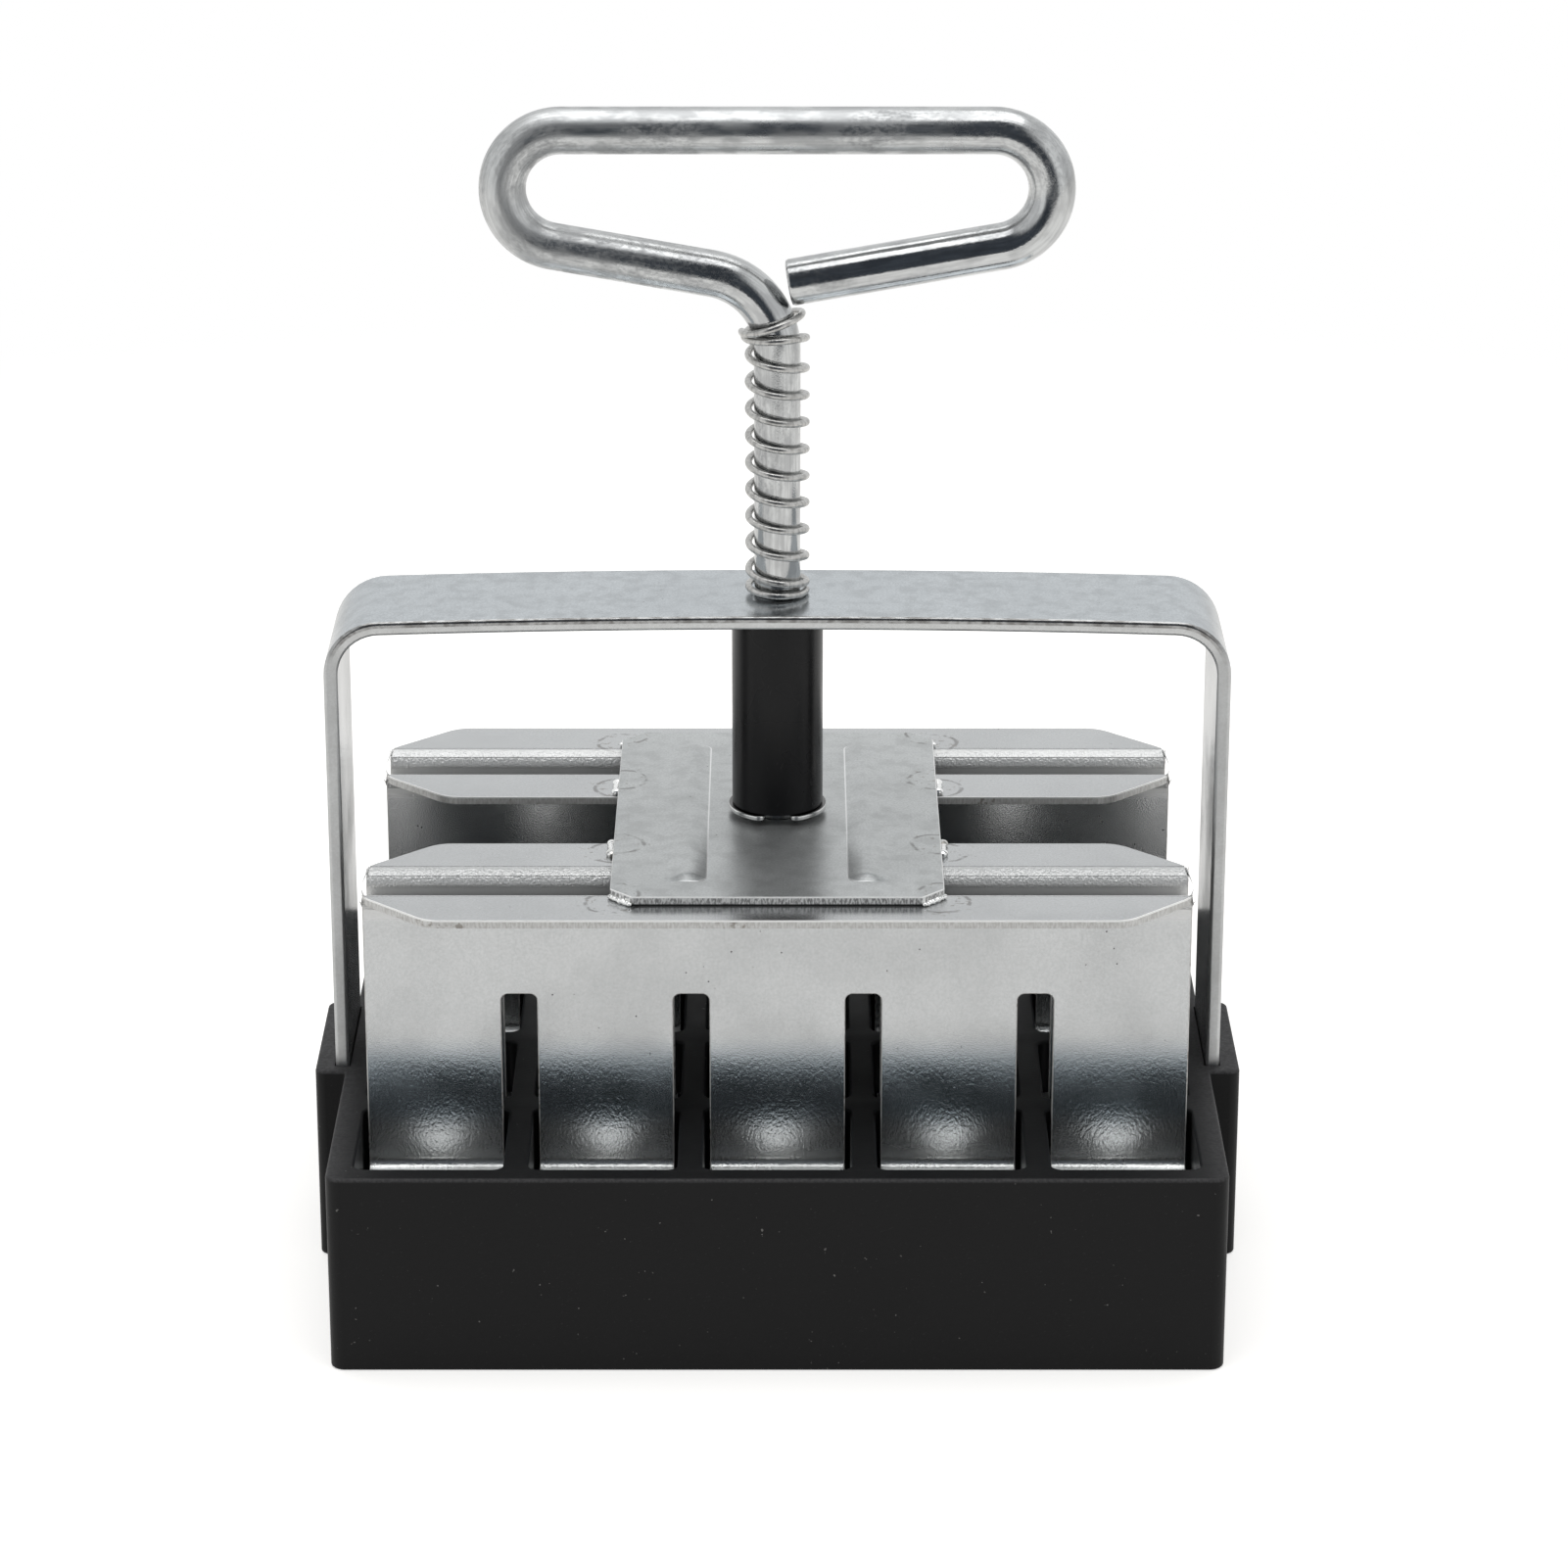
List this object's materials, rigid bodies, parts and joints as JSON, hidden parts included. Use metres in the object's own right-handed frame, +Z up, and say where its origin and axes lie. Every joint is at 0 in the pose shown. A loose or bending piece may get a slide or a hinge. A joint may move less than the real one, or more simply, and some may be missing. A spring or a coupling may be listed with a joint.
{
  "type": "soil blocker",
  "caption": "Hand soil blocker: open grid base on a steel strap, with a sprung plunger of finger plates under a loop handle that pushes moulded soil blocks out.",
  "frame": {"origin": "middle of the base's underside, on the middle divider", "axes": "+Z up the rod, X along the strap and the handle, Y across the rows of cells"},
  "size_m": [0.1326, 0.1, 0.1668],
  "materials": {
    "moulded_black": "satin moulded black plastic",
    "zinc_strap": "zinc-plated flat steel, semi-bright",
    "zinc_sheet": "zinc-plated sheet steel, semi-bright with fine marks",
    "zinc_rod": "bright zinc-plated steel rod",
    "spring_wire": "drawn spring wire",
    "sleeve_black": "glossy black tube",
    "ring_steel": "plated retaining ring",
    "screw_steel": "plated screw",
    "weld_metal": "plated weld bead"
  },
  "bodies": {
    "frame": {"mould_base": "moulded_black", "carry_strap": "zinc_strap", "left_leg_screw": "screw_steel", "right_leg_screw": "screw_steel", "return_spring": "spring_wire"},
    "plunger": {"push_rod": "zinc_rod", "spacer_sleeve": "sleeve_black", "upper_retaining_ring": "ring_steel", "lower_retaining_ring": "ring_steel", "crown_plate": "zinc_sheet", "plunger_row_1": "zinc_sheet", "plunger_row_2": "zinc_sheet", "plunger_row_3": "zinc_sheet", "plunger_row_4": "zinc_sheet", "tack_welds": "weld_metal"}
  },
  "joints": [
    {"name": "plunger_slide", "type": "slide", "parent": "frame", "child": "plunger", "axis": [0, 0, -1], "range_m": [0, 0.0184], "stiffness_N_per_m": 2000, "springref_m": -0.006, "deforming": ["return_spring"]}
  ]
}
